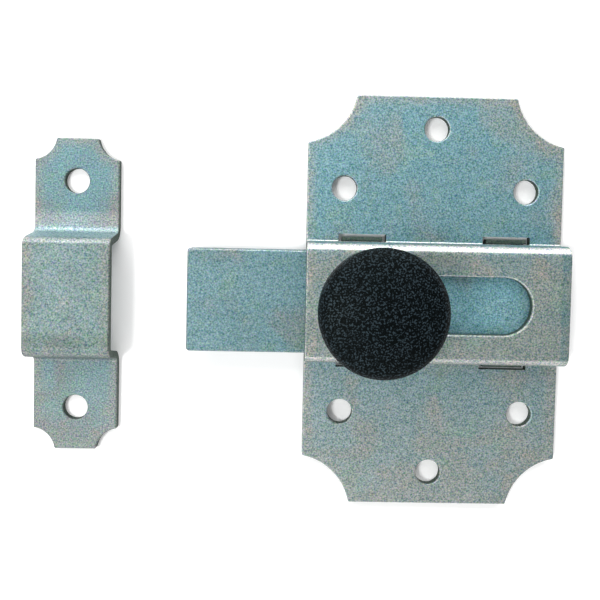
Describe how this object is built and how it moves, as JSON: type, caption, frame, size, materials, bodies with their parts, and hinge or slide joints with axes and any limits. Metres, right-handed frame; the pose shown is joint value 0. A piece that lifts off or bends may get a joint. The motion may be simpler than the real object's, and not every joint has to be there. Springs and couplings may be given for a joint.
{
  "type": "door bolt",
  "caption": "Flat pull bolt on a folded steel plate with a round black knob, and a matching strap keeper, for screwing to a door and its frame.",
  "frame": {"origin": "centre of the rear plate's back face, on the door's face under the middle of the case", "axes": "+X along the bolt, away from the keeper; +Y along the case plate, across the bolt; +Z out of the door, towards the knob"},
  "size_m": [0.1029, 0.08, 0.0251],
  "materials": {
    "case_zinc": "zinc plated, blue passivated, satin",
    "rear_zinc": "zinc plated, blue passivated, satin",
    "bar_zinc": "zinc plated, blue passivated, satin",
    "knob_nylon": "moulded black nylon, satin",
    "screw_zinc": "zinc plated, bright",
    "keeper_zinc": "zinc plated, blue passivated, satin"
  },
  "bodies": {
    "case": {"case_plate": "case_zinc", "rear_plate": "rear_zinc", "keeper": "keeper_zinc"},
    "bolt": {"bolt_bar": "bar_zinc", "knob": "knob_nylon", "knob_screw": "screw_zinc"}
  },
  "joints": [
    {"name": "bolt_slide", "type": "slide", "parent": "case", "child": "bolt", "axis": [1, 0, 0], "range_m": [0, 0.0246]}
  ]
}
